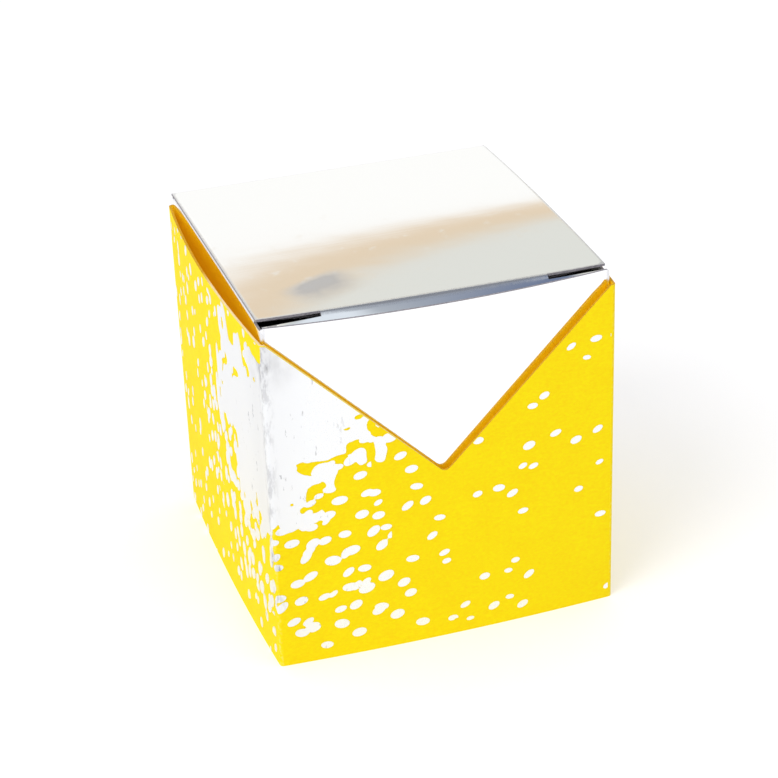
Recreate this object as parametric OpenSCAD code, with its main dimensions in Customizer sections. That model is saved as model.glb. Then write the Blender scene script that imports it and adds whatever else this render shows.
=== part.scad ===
// Favor box: a tuck-top carton of mirror foil card, standing in a sleeve of dyed card.
// The sleeve has a V notch in its front and back walls and a speckled foil print.
// Origin at the middle of the base, +Z up, the front faces -Y. Millimetres.

/* [Carton] */
// Outside width of the carton, left to right
carton_w = 50; // [46:1:80]
// Outside depth of the carton, front to back
carton_d = 50; // [46:1:80]
// Height of the carton's walls
carton_h = 52.8; // [42:0.2:80]
// Thickness of the mirror foil card
foil_card_t = 0.35; // [0.25:0.05:0.5]
// Outside radius of the carton's upright folds
carton_fold_r = 0.5; // [0.5:0.05:0.8]
// Width of the glued seam flap inside the left wall
carton_seam_w = 11; // [6:1:16]

/* [Closures] */
// How far the dust flaps reach in from the side walls
dust_flap_l = 19; // [10:1:21]
// Slope of the top dust flaps, downwards from their folds, in degrees
dust_slope = 5; // [3:1:8]
// Distance from the lid's crease back to the front edge of the dust flaps
dust_gap = 0.6; // [0.4:0.1:3]
// Length of the tuck flaps below their lower bend
tuck_l = 10; // [7:0.5:14]
// How far the tuck flaps narrow on each side towards their free edge
tuck_taper = 2.5; // [1:0.5:4]
// Corner radius of the tuck flaps
tuck_corner_r = 4; // [2:0.5:5]
// Distance from the front wall's inner face to the tuck flap
tuck_gap = 0.4; // [0.3:0.05:0.7]
// Distance from the side walls' inner faces to the tuck flap
tuck_side_gap = 0.25; // [0.15:0.05:1]
// Distance from the front wall's inner face back to the lid's crease
crease_setback = 2.3; // [1.9:0.1:3.5]
// Slope of the brow, the sprung strip between the crease and the lower bend, in degrees
brow_slope = 50; // [40:5:60]
// Outside radius of the crease between lid and brow
crease_r = 0.55; // [0.55:0.05:0.8]
// Outside radius of the bend between brow and tuck flap
brow_r = 0.9; // [0.6:0.1:1.2]
// Length of the lock slit at each end of the crease
slit_l = 8.8; // [5:0.2:12]
// Width of the lock slit
slit_w = 0.4; // [0.2:0.1:0.8]
// How far the lid's front edge stands above its hinge
lid_rise = 0.15; // [0.05:0.05:1]
// Distance from the carton's side faces to the side edges of lid and base
lid_inset = 0.05; // [0.05:0.05:0.5]

/* [Sleeve] */
// Thickness of the dyed card
sleeve_t = 0.35; // [0.25:0.05:0.5]
// Space between the carton and the sleeve's side walls
sleeve_gap_side = 0.15; // [0.1:0.05:0.5]
// Space between the carton and the sleeve's front and back walls, wider than the card for the seam flap
sleeve_gap_front = 0.6; // [0.55:0.05:1]
// How far the sleeve's top edges lie below the carton's walls
sleeve_drop = 2; // [0.8:0.1:6]
// Depth of the V notches, down from the sleeve's top edges
notch_depth = 24.4; // [10:0.2:32]
// Radius at the bottom of the V notches
notch_r = 1; // [0.5:0.1:3]
// Width of side wall edge left beside each end of a V notch
notch_shoulder = 0.4; // [0.2:0.1:2]
// Outside radius of the sleeve's upright folds
sleeve_fold_r = 0.6; // [0.6:0.05:1]
// Width of the glued seam flap inside the back wall
sleeve_seam_w = 10; // [6:1:14]
// How far the middle of the sleeve's side walls bows out
side_bow = 0.9; // [0.3:0.1:1]

/* [Foil print] */
// Thickness of the stamped foil
print_t = 0.05; // [0.03:0.01:0.1]
// Reach of the solid foil field across the front and back walls
field_reach_front = 17; // [6:1:19]
// Reach of the solid foil field across the side walls
field_reach_side = 12; // [6:1:18]
// Half height of the solid foil field
field_half_h = 17; // [8:1:20]
// Distance from the sleeve's top edges down to the middle of the foil field
field_drop = 13; // [8:1:20]
// Spacing of the foil dots
dot_pitch = 3.3; // [3.2:0.1:5]
// Length of the largest foil dots
dot_l = 1.8; // [1:0.1:2.4]
// Share of dots printed at the far end of a wall
far_share = 0.3; // [0.1:0.05:0.6]
// Bare margin between the foil and the card's edges and folds
print_margin = 0.6; // [0.4:0.1:2]

/* [Hidden] */

foil_colour = [0.86, 0.87, 0.88];
card_colour = [1, 0.80, 0.06];

// Sleeve, built around the carton
sleeve_w = carton_w + 2 * (sleeve_gap_side + sleeve_t);
sleeve_d = carton_d + 2 * (sleeve_gap_front + sleeve_t);
sleeve_h = carton_h - sleeve_drop;
notch_half_w = sleeve_w / 2 - sleeve_t - notch_shoulder;
notch_z = sleeve_h - notch_depth;
notch_slope = atan2(notch_depth, notch_half_w);
// Half of a side wall's flat part, which bows, and the straight steps that its bow is made of
bow_reach = sleeve_d / 2 - sleeve_fold_r;
bow_steps = 12;

// Lid, hinged at the top of the carton's back wall
lid_w = carton_w - 2 * lid_inset;
crease_l = carton_d - foil_card_t - crease_setback;
crease_w = lid_w - 2 * slit_l;
lid_tilt = asin(lid_rise / crease_l);
tuck_reach = carton_d - foil_card_t - tuck_gap;
tuck_w = carton_w - 2 * (foil_card_t + tuck_side_gap);
// A tuck flap leans in by half its length over its reach, and a little more, so that it swings clear
tuck_spare_angle = 4;
tuck_lean = asin(tuck_l / (2 * tuck_reach)) + tuck_spare_angle;
// Length of the flat part of the brow, so that the lower bend just clears the front wall
brow_l = (tuck_reach - brow_r - crease_l - (crease_r - brow_r) * sin(brow_slope)) / cos(brow_slope);
// How far the free lid edges over the slits stop short of the crease
slit_edge_back = 0.1;
// Space between the lid and the folds of the dust flaps
dust_clear = 0.15;
// How far the dust flaps' folds lie below and inside the walls' top corners
dust_fold_drop = 0.05;
// Gap between the dust flaps and the back wall
dust_back_gap = 0.5;
// Gap between a seam flap's end and the next fold, and the chamfer of its ends
seam_end_gap = 1;
seam_chamfer = 1.5;
// The sleeve's seam flap ends below the notch
sleeve_seam_h = notch_z + notch_depth * (1 - sleeve_seam_w / notch_half_w) - 2 * seam_end_gap;
// The carton's seam flap ends below the dust flap that folds in over it
carton_seam_h = carton_h - carton_seam_w * sin(dust_slope) - 2 * foil_card_t - 3 * seam_end_gap;
// How far a cutting shape passes the faces that it cuts
cut = 1;

// Foil print
field_ripples = 40;
// Part of the field's half height that is solid right at the fold
fold_share = 0.85;
dot_sides = 6;
// Part of the free space between two dots that a dot may be shifted by
dot_wander = 0.95;
// Height of a dot over its length
dot_squash = 0.68;
// Share of dots printed beside the solid field
near_share = 1.1;
// Part of the wall's width over which the share falls to its least
thin_out = 0.75;
dot_slant = 25;
// Random seeds of the dots: front and left wall, then back and right wall
wall_seeds = [[11, 23], [37, 53]];

// Rectangle with round corners, as true arcs
module round_rect(w, d, r) {
    square([w - 2 * r, d], center = true);
    square([w, d - 2 * r], center = true);
    for (x = [-1, 1], y = [-1, 1])
        translate([x * (w / 2 - r), y * (d / 2 - r)]) circle(r = r, $fn = 32);
}

// Four walls folded from one strip of card
module folded_tube(w, d, h, t, r) {
    linear_extrude(h)
        difference() {
            round_rect(w, d, r);
            round_rect(w - 2 * t, d - 2 * t, r - t + 0.01);
        }
}

// Points of an arc from angle a0 to a1
function arc_points(centre, r, a0, a1, steps) =
    [for (i = [0:steps]) centre + r * [cos(a0 + (a1 - a0) * i / steps), sin(a0 + (a1 - a0) * i / steps)]];

// V notch with a round vertex, its vertex at the origin, open at the top
module notch_outline() {
    rise = notch_depth + cut;
    run = notch_half_w * rise / notch_depth;
    centre_y = notch_r / cos(notch_slope);
    polygon(concat(
        [[-run, rise]],
        arc_points([0, centre_y], notch_r, 270 - notch_slope, 270 + notch_slope, 10),
        [[run, rise]]
    ));
}

// Glued seam flap with chamfered ends, drawn flat: its fold on the Y axis, w wide along +X
module seam_outline(w, h) {
    polygon([[0, 0], [w, seam_chamfer], [w, h - seam_chamfer], [0, h]]);
}

// Bow of a side wall from fold to fold, off outside the card, as [along the wall, outwards]
function bow_line(off) =
    [for (i = [0:bow_steps])
        let (q = 2 * i / bow_steps - 1)
        [bow_reach * q, off + side_bow * (1 - q * q)]];

// What the side walls' bows add to the sleeve's plan
module bows(off) {
    for (side = [0, 1])
        mirror([side, 0])
            translate([sleeve_w / 2, 0])
                mirror([1, -1])
                    polygon(concat(
                        [[-bow_reach, off - sleeve_t]],
                        bow_line(off),
                        [[bow_reach, off - sleeve_t]]
                    ));
}

module sleeve_walls() {
    linear_extrude(sleeve_h)
        difference() {
            union() {
                round_rect(sleeve_w, sleeve_d, sleeve_fold_r);
                bows(0);
            }
            round_rect(sleeve_w - 2 * sleeve_t, sleeve_d - 2 * sleeve_t, sleeve_fold_r - sleeve_t + 0.01);
            bows(-sleeve_t);
        }
}

module sleeve() {
    color(card_colour) {
        difference() {
            sleeve_walls();
            translate([0, 0, notch_z])
                rotate([90, 0, 0])
                    linear_extrude(sleeve_d + 2 * cut, center = true) notch_outline();
        }
        // Seam flap, glued to the inside of the back wall under the notch's arm
        translate([sleeve_w / 2 - sleeve_t, sleeve_d / 2 - sleeve_t, seam_end_gap])
            mirror([1, 0, 0])
                rotate([90, 0, 0])
                    linear_extrude(sleeve_t)
                        seam_outline(sleeve_seam_w, sleeve_seam_h);
    }
}

// Foil print on one wall: u runs from the dense fold across the wall, v runs up
function field_wave(a) = 1 + 0.10 * sin(5 * a + 20) + 0.08 * sin(11 * a + 70) + 0.05 * sin(23 * a);
function field_edge(a, reach) = [reach * cos(a), field_half_h * sin(a)] * field_wave(a);
function field_centre() = [0, sleeve_h - field_drop];
function field_ratio(p, reach) =
    let (q = p - field_centre(), a = atan2(q[1] / field_half_h, q[0] / reach))
    norm([q[0] / reach, q[1] / field_half_h]) / field_wave(a);

// Top limit of the print on a wall at distance u from the fold
function print_top(u, w, notched) =
    notched
    ? notch_z + notch_depth * abs(u - w / 2) / notch_half_w - print_margin / cos(notch_slope)
    : sleeve_h - print_margin;

module print_limits(w, notched) {
    side = sleeve_fold_r;
    polygon(concat(
        [[side, print_margin], [w - side, print_margin]],
        [[w - side, min(sleeve_h - print_margin, print_top(w - side, w, notched))]],
        notched ? [[w / 2, print_top(w / 2, w, true)]] : [],
        [[side, min(sleeve_h - print_margin, print_top(side, w, notched))]]
    ));
}

module foil_field(w, reach, notched) {
    intersection() {
        print_limits(w, notched);
        translate(field_centre())
            polygon([for (i = [0:field_ripples - 1]) field_edge(360 * i / field_ripples, reach)]);
    }
}

module foil_dots(w, reach, notched, seed) {
    columns = floor((w - 2 * print_margin) / dot_pitch);
    rows = floor((sleeve_h - 2 * print_margin) / dot_pitch) - 1;
    count = columns * rows;
    chance = rands(0, 1, count, seed);
    shift_u = rands(-1, 1, count, seed + 1);
    shift_v = rands(-1, 1, count, seed + 2);
    grow = rands(0.6, 1, count, seed + 3);
    free = (dot_pitch - dot_l) / 2 * dot_wander;
    half = dot_l / 2;
    for (i = [0:columns - 1], j = [0:rows - 1]) {
        k = i * rows + j;
        u = w / 2 + (i - (columns - 1) / 2) * dot_pitch + free * shift_u[k];
        // Every other column stands half a step higher
        v = print_margin + (j + 0.5 + (i % 2) / 2) * dot_pitch + free * shift_v[k];
        share = max(far_share, near_share - (near_share - far_share) * u / (thin_out * w));
        off_field = field_ratio([u, v], reach) > 1 + dot_l / reach;
        on_wall = u > sleeve_fold_r + half && u < w - sleeve_fold_r - half
            && v + half < min([for (s = [-half, 0, half]) print_top(u + s, w, notched)]);
        if (chance[k] < share && off_field && on_wall)
            translate([u, v])
                rotate(dot_slant * (1 + shift_u[k]))
                    scale(half * grow[k])
                        polygon([for (n = [0:dot_sides - 1])
                            [cos(360 * n / dot_sides), dot_squash * sin(360 * n / dot_sides)]]);
    }
}

module print_outline(w, reach, notched, seed) {
    foil_field(w, reach, notched);
    foil_dots(w, reach, notched, seed);
}

// Cuts a side wall's print out of a sheet of foil that follows the bow
module bowed_print() {
    intersection() {
        translate([0, 0, -cut])
            linear_extrude(side_bow + 2 * cut) children();
        translate([sleeve_d / 2, sleeve_h, 0])
            rotate([90, 0, 0])
                linear_extrude(sleeve_h)
                    polygon(concat(bow_line(0), flip(bow_line(print_t))));
    }
}

// Foil field where it runs round an upright fold, with the fold's outer corner at the origin
module foil_on_fold() {
    z0 = sleeve_h - field_drop - field_half_h * fold_share;
    z1 = min(print_top(sleeve_fold_r, sleeve_w, true), print_top(sleeve_fold_r, sleeve_d, false));
    translate([sleeve_fold_r, sleeve_fold_r, z0])
        linear_extrude(z1 - z0)
            intersection() {
                difference() {
                    circle(r = sleeve_fold_r + print_t, $fn = 32);
                    circle(r = sleeve_fold_r, $fn = 32);
                }
                translate([-2 * sleeve_fold_r, -2 * sleeve_fold_r]) square(2 * sleeve_fold_r);
            }
}

// The print runs out from the front left fold, and again from the back right fold
module foil_print() {
    color(foil_colour)
        for (half_turn = [0, 1])
            rotate(180 * half_turn)
                translate([-sleeve_w / 2, -sleeve_d / 2, 0]) {
                    foil_on_fold();
                    rotate([90, 0, 0])
                        linear_extrude(print_t)
                            print_outline(sleeve_w, field_reach_front, true, wall_seeds[half_turn][0]);
                    rotate([90, 0, 90])
                        mirror([0, 0, 1])
                            bowed_print()
                                print_outline(sleeve_d, field_reach_side, false, wall_seeds[half_turn][1]);
                }
}

// Section of a closing panel: flat panel, crease, sloping brow, lower bend and leaning tuck flap.
// X runs forward from the hinge and Y up, with the panel's underside on the X axis.
function heading(a) = [cos(a), sin(a)];
function flip(points) = [for (i = [len(points) - 1:-1:0]) points[i]];
function crease_centre() = [crease_l, foil_card_t - crease_r];
function bend_centre() =
    crease_centre() + (crease_r - brow_r) * heading(90 - brow_slope) + brow_l * heading(-brow_slope);
function tuck_tip(lean, r) = bend_centre() + r * heading(-lean) + tuck_l * heading(-90 - lean);
function card_side(lean, r1, r2) = concat(
    arc_points(crease_centre(), r1, 90, 90 - brow_slope, 5),
    arc_points(bend_centre(), r2, 90 - brow_slope, -lean, 6),
    [tuck_tip(lean, r2)]
);

module closing_section(lean) {
    outer = card_side(lean, crease_r, brow_r);
    inner = card_side(lean, crease_r - foil_card_t, brow_r - foil_card_t);
    polygon(concat([[0, foil_card_t]], outer, flip(inner), [[0, 0]]));
}

// What is cut off beside a tuck flap, seen from the front: its straight shoulder, taper and round corner
module tuck_trim(tip_y) {
    low = tuck_w / 2 - tuck_taper;
    far = lid_w / 2 + cut;
    corner = [low - tuck_corner_r, tip_y + tuck_corner_r];
    polygon(concat(
        [[far, -slit_w], [tuck_w / 2, -slit_w], [tuck_w / 2, -slit_w - brow_l]],
        arc_points(corner, tuck_corner_r, 0, -90, 8),
        [[corner[0], tip_y - cut], [far, tip_y - cut]]
    ));
}

// Closing panel with its tuck flap. X runs forward from the hinge, Y up, Z across.
module closing_panel(tilt) {
    lean = tilt + tuck_lean;
    rotate(tilt)
        difference() {
            linear_extrude(lid_w, center = true) closing_section(lean);
            for (side = [0, 1])
                mirror([0, 0, side]) {
                    // Lock slit, from the side edge inwards
                    translate([crease_l - slit_edge_back, -slit_w, crease_w / 2])
                        cube([2 * crease_setback, slit_w + foil_card_t + cut, slit_l + cut]);
                    // Trim of the tuck flap, cut through from the back to the front
                    translate([crease_l - tuck_l, 0, 0])
                        rotate([0, 90, 0])
                            mirror([1, 0, 0])
                                linear_extrude(2 * tuck_l) tuck_trim(tuck_tip(lean, brow_r)[1]);
                }
        }
}

// Puts a closing panel's hinge on the outer back edge of the carton at height z
module at_back_edge(z) {
    translate([0, carton_d / 2, z])
        rotate([90, 0, -90])
            children();
}

// A pair of dust flaps folded in from the side walls, their folds at height z.
// Seen from the front each one slopes down by its angle towards the middle.
module dust_flaps(z, slope) {
    y0 = -carton_d / 2 + foil_card_t + crease_setback + dust_gap;
    y1 = carton_d / 2 - foil_card_t - dust_back_gap;
    for (side = [0, 1])
        mirror([side, 0, 0])
            translate([-carton_w / 2 + foil_card_t * sin(slope) + dust_fold_drop, y1, z])
                rotate([90, 0, 0])
                    linear_extrude(y1 - y0)
                        rotate(-slope)
                            translate([0, -foil_card_t]) square([dust_flap_l - dust_fold_drop, foil_card_t]);
}

module carton() {
    color(foil_colour) {
        // Walls: the front and back reach full height, the sides leave room for their folds
        translate([0, 0, foil_card_t])
            difference() {
                folded_tube(carton_w, carton_d, carton_h - foil_card_t, foil_card_t, carton_fold_r);
                translate([0, 0, carton_h - foil_card_t - dust_clear + cut])
                    cube([carton_w + cut, carton_d - 2 * foil_card_t, 2 * cut], center = true);
            }
        dust_flaps(carton_h - dust_clear - dust_fold_drop, dust_slope);
        // Seam flap, glued to the inside of the left wall
        translate([-carton_w / 2 + foil_card_t, carton_d / 2 - foil_card_t, foil_card_t + seam_end_gap])
            rotate([90, 0, -90])
                mirror([0, 0, 1])
                    linear_extrude(foil_card_t)
                        seam_outline(carton_seam_w, carton_seam_h);
        // Base: a closing panel under a pair of flat dust flaps
        mirror([0, 0, 1])
            at_back_edge(-foil_card_t) closing_panel(0);
        dust_flaps(2 * foil_card_t, 0);
    }
}

module lid() {
    color(foil_colour)
        at_back_edge(carton_h) closing_panel(lid_tilt);
}

sleeve();
foil_print();
carton();
lid();
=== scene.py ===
"""Looks of the favor box: a carton of mirror foil card in a sleeve of dyed card.

Lengths are millimetres in this script and become metres where a mesh, a lamp or
the camera is made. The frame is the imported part's: origin at the middle of the
base, +Z up, the front faces -Y. Heights, widths and depths come from the frame.
"""

import logging
import math
from abc import ABC, abstractmethod
from dataclasses import dataclass
from enum import Enum
from functools import cache

import bpy
import numpy as np
from mathutils import Matrix, Vector


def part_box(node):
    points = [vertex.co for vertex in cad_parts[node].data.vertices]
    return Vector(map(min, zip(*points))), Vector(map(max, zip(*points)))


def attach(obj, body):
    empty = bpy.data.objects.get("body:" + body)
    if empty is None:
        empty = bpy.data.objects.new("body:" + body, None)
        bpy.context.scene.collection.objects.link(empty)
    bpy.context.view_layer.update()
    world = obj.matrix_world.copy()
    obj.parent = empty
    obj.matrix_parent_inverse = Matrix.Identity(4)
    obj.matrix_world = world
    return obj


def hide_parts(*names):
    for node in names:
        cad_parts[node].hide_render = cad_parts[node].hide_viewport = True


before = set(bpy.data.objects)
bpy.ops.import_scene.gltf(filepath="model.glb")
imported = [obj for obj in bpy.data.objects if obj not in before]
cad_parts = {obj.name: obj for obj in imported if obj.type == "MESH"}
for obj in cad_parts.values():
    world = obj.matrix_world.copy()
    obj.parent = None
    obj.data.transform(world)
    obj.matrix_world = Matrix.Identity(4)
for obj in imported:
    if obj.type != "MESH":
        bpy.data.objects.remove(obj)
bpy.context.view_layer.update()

log = logging.getLogger("favor_box")

MM = 0.001
CUT_EDGE_ANGLE = 50

Array = np.ndarray
Colour = tuple[float, float, float]
Span = tuple[float, float]


class Side(Enum):
    """The faces of a piece of card, in the order of its material slots."""

    OUTSIDE = 0
    INSIDE = 1
    EDGE = 2


class Wall(Enum):
    """The walls of a folded tube, in the order in which they are folded."""

    FRONT = 0
    RIGHT = 1
    BACK = 2
    LEFT = 3


def smooth(value: Array, low: float, high: float) -> Array:
    """Smooth step: 3 t^2 - 2 t^3 of the value's share t of the way from low to high.

    Args:
        value: Where the step is taken.
        low: The step is 0 up to here.
        high: The step is 1 from here on.

    Returns:
        The step, from 0 to 1.
    """
    t = np.clip((value - low) / (high - low), 0, 1)
    return t * t * (3 - 2 * t)


def arc(centre: tuple[float, float], radius: float, start: float, end: float, steps: int) -> Array:
    """Points centre + radius (cos a, sin a), with the angle a from start to end.

    Args:
        centre: Centre of the arc.
        radius: Radius of the arc.
        start: First angle, in degrees.
        end: Last angle, in degrees.
        steps: Number of steps between the two.

    Returns:
        The points, one to a row.
    """
    angles = np.radians(np.linspace(start, end, steps + 1))
    return np.array(centre) + radius * np.column_stack([np.cos(angles), np.sin(angles)])


# Shader graphs


class Signal:
    """A shader socket that Python's operators work on, by adding Math nodes."""

    def __init__(self, graph: "Graph", socket: bpy.types.NodeSocket) -> None:
        """Wraps a socket of a graph."""
        self.graph = graph
        self.socket = socket

    def maths(self, operation: str, *values: "Signal | float") -> "Signal":
        """One Math node with that operation on the values."""
        return self.graph.node("ShaderNodeMath", {"operation": operation}, dict(enumerate(values)))

    def __add__(self, other: "Signal | float") -> "Signal":
        """Sum."""
        return self.maths("ADD", self, other)

    def __radd__(self, other: float) -> "Signal":
        """Sum, the number first."""
        return self.maths("ADD", other, self)

    def __sub__(self, other: "Signal | float") -> "Signal":
        """Difference."""
        return self.maths("SUBTRACT", self, other)

    def __rsub__(self, other: float) -> "Signal":
        """Difference, the number first."""
        return self.maths("SUBTRACT", other, self)

    def __mul__(self, other: "Signal | float") -> "Signal":
        """Product."""
        return self.maths("MULTIPLY", self, other)

    def __rmul__(self, other: float) -> "Signal":
        """Product, the number first."""
        return self.maths("MULTIPLY", other, self)

    def step(self, low: float, high: float) -> "Signal":
        """Smooth step from 0 at low to 1 at high."""
        values = {"Value": self, "From Min": low, "From Max": high}
        return self.graph.node("ShaderNodeMapRange", {"interpolation_type": "SMOOTHSTEP"}, values)

    def clipped(self) -> "Signal":
        """Held between 0 and 1."""
        return self.graph.node("ShaderNodeClamp", {}, {"Value": self})


class Graph:
    """The nodes of one material or of the world."""

    def __init__(self, owner: bpy.types.Material | bpy.types.World) -> None:
        """Empties the owner's node tree and starts anew.

        Args:
            owner: The material or world whose nodes these are.
        """
        owner.use_nodes = True
        self.tree = owner.node_tree
        self.tree.nodes.clear()

    def node(self, kind: str, settings: dict, inputs: dict, output: int | str = 0) -> Signal:
        """Adds a node.

        Args:
            kind: Type name of the node.
            settings: Properties set first, such as an operation.
            inputs: Value or Signal for sockets, by name or number.
            output: Which of its outputs to return.

        Returns:
            That output. A node without outputs gives a Signal with no socket.
        """
        made = self.tree.nodes.new(kind)
        for name, value in settings.items():
            setattr(made, name, value)
        for key, value in inputs.items():
            socket = made.inputs[key]
            if isinstance(value, Signal):
                self.tree.links.new(value.socket, socket)
            elif socket.type == "RGBA":
                socket.default_value = (*value, 1.0)
            else:
                socket.default_value = value
        return Signal(self, made.outputs[output] if made.outputs else None)

    def mix(self, factor: Signal | float, first: Signal | Colour, second: Signal | Colour) -> Signal:
        """Colour between two colours."""
        inputs = {0: factor, 6: first, 7: second}
        return self.node("ShaderNodeMix", {"data_type": "RGBA"}, inputs, 2)

    def place(self, stretch: Colour = (1.0, 1.0, 1.0)) -> Signal:
        """Object coordinates in millimetres, each axis divided by its stretch.

        Args:
            stretch: How much longer a pattern's grains are along each axis.

        Returns:
            The coordinates.
        """
        found = self.node("ShaderNodeTexCoord", {}, {}, "Object")
        scale = tuple(1 / (MM * s) for s in stretch)
        return self.node("ShaderNodeMapping", {}, {"Vector": found, "Scale": scale})

    def axes(self, names: str) -> list[Signal]:
        """Those of the object coordinates X, Y and Z, in millimetres."""
        place = self.place()
        return [self.node("ShaderNodeSeparateXYZ", {}, {0: place}, name) for name in names]

    def noise(self, place: Signal, size: float, detail: float = 2.0, rough: float = 0.5) -> Signal:
        """Soft noise from 0 to 1 with grains of about that size, in millimetres."""
        inputs = {"Vector": place, "Scale": 1 / size, "Detail": detail, "Roughness": rough}
        return self.node("ShaderNodeTexNoise", {}, inputs)

    def reading(self, name: str) -> Signal:
        """The number that a mesh keeps under that name."""
        return self.node("ShaderNodeAttribute", {"attribute_name": name}, {}, "Fac")

    def surface(self, inputs: dict, relief: Signal, depth: float) -> None:
        """Ends the graph in a Principled shader.

        Args:
            inputs: Values or Signals for the shader's sockets.
            relief: Height of the surface, from 0 to 1.
            depth: What a relief of 1 stands for, in millimetres.
        """
        normal = self.node("ShaderNodeBump", {}, {"Height": relief, "Distance": depth * MM})
        shader = self.node("ShaderNodeBsdfPrincipled", {}, {**inputs, "Normal": normal})
        self.node("ShaderNodeOutputMaterial", {}, {"Surface": shader})


# Finishes


class Finish(ABC):
    """A finish that can be put on a piece."""

    name: str

    @cache
    def material(self) -> bpy.types.Material:
        """The finish as a material, made once for all pieces that wear it.

        Returns:
            The material.
        """
        made = bpy.data.materials.new(self.name)
        self.paint(Graph(made))
        return made

    @abstractmethod
    def paint(self, graph: Graph) -> None:
        """Draws the finish into an empty graph."""


@dataclass(frozen=True)
class DyedCard(Finish):
    """Matt card dyed through: cloudy tone, short fibres, paler where a fold has cracked."""

    name: str = "yellow_card"
    deep: Colour = (0.97, 0.67, 0.001)
    light: Colour = (1.0, 0.83, 0.002)
    cracked: Colour = (0.97, 0.80, 0.20)
    fibre: float = 0.22
    grain: float = 0.55
    cloud: float = 5.0
    crack_reach: Span = (0.12, 0.5)
    sheen: float = 0.14
    relief: float = 0.012

    def paint(self, graph: Graph) -> None:
        """Fibres lie along the wall, so their noise is stretched sideways.

        Args:
            graph: The empty graph.
        """
        fibres = graph.noise(graph.place((2.6, 2.6, 1.0)), self.fibre, 3.0, 0.6)
        grain = graph.noise(graph.place(), self.grain, 2.0)
        cloud = graph.noise(graph.place(), self.cloud, 2.0)
        tone = (0.5 * cloud + 1.3 * fibres + 0.6 * grain - 0.65).clipped()
        body = graph.mix(tone, self.deep, self.light)
        crack = (1.0 - graph.reading("fold").step(*self.crack_reach)) * grain.step(0.42, 0.66)
        colour = graph.mix(0.5 * crack, body, self.cracked)
        rough = 0.60 + 0.18 * fibres
        relief = 0.7 * fibres + 0.3 * grain
        values = {"Base Color": colour, "Roughness": rough, "Specular IOR Level": self.sheen}
        graph.surface({**values, **self.extras()}, relief, self.relief)

    def extras(self) -> dict:
        """Further constants of the shader."""
        return {}


@dataclass(frozen=True)
class DyedInside(DyedCard):
    """Inner face of the dyed card, painted more orange than the outer one.

    Its tone and its faint glow stand for the light that comes through the card.
    """

    name: str = "yellow_card_inside"
    deep: Colour = (0.98, 0.60, 0.002)
    light: Colour = (1.0, 0.70, 0.003)
    glow: Colour = (1.0, 0.45, 0.003)
    glow_level: float = 0.17

    def extras(self) -> dict:
        """The light that comes through."""
        return {"Emission Color": self.glow, "Emission Strength": self.glow_level}


@dataclass(frozen=True)
class StampedFoil(Finish):
    """Silver foil stamped on card: card grain shows through, grey from rubbing at the folds.

    The side walls are painted a little greyer, for the shade that the photo shows there.
    """

    name: str = "silver_stamp"
    silver: Colour = (0.89, 0.90, 0.905)
    # Grey of foil worn at the folds, and of the painted shade on the side walls.
    greyed: Colour = (0.36, 0.36, 0.38)
    rub_reach: Span = (0.1, 1.6)
    smudge_reach: Span = (1.5, 6.0)
    smudge_height: Span = (42.5, 47.5)
    speck_reach: Span = (5.0, 15.0)
    haze_reach: Span = (0.0, 9.0)
    # Reach in |x| where the side walls begin; they are painted greyer as shade.
    side_wall: Span = (25.3, 25.8)
    relief: float = 0.008

    def paint(self, graph: Graph) -> None:
        """Streaks from rubbing keep to the folds, faint smudges lie further in, and the side walls
        get painted shade.

        Args:
            graph: The empty graph.
        """
        fold = graph.reading("fold")
        grain = graph.noise(graph.place((1.0, 1.0, 1.6)), 0.30, 3.0, 0.6)
        streak = graph.noise(graph.place((1.0, 1.0, 3.0)), 0.8, 3.0, 0.65)
        cloud = graph.noise(graph.place(), 3.6, 2.0)
        # Share of foil grey from rubbing along the folds.
        greyed = (1.0 - fold.step(*self.rub_reach)) * streak.step(0.44, 0.60)
        x, height = graph.axes("XZ")
        smudge = (1.0 - fold.step(*self.smudge_reach)) * height.step(*self.smudge_height)
        smudge = smudge * cloud.step(0.38, 0.58)
        speck = (1.0 - fold.step(*self.speck_reach)) * streak.step(0.655, 0.69)
        # Painted shade: the side walls are painted greyer, and the foil near the fold a little
        # greyer.
        side = x.maths("ABSOLUTE", x).step(*self.side_wall)
        haze_and_side_shade = 0.08 * (1.0 - fold.step(*self.haze_reach)) + 0.14 * side
        wear_and_side_shade = (0.36 * greyed + 0.45 * smudge * streak + 0.5 * speck + haze_and_side_shade).clipped()
        colour = graph.mix(wear_and_side_shade, self.silver, self.greyed)
        rough = 0.24 + 0.08 * grain + 0.3 * wear_and_side_shade
        values = {"Base Color": colour, "Roughness": rough, "Metallic": 1.0}
        graph.surface(values, grain, self.relief)


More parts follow.
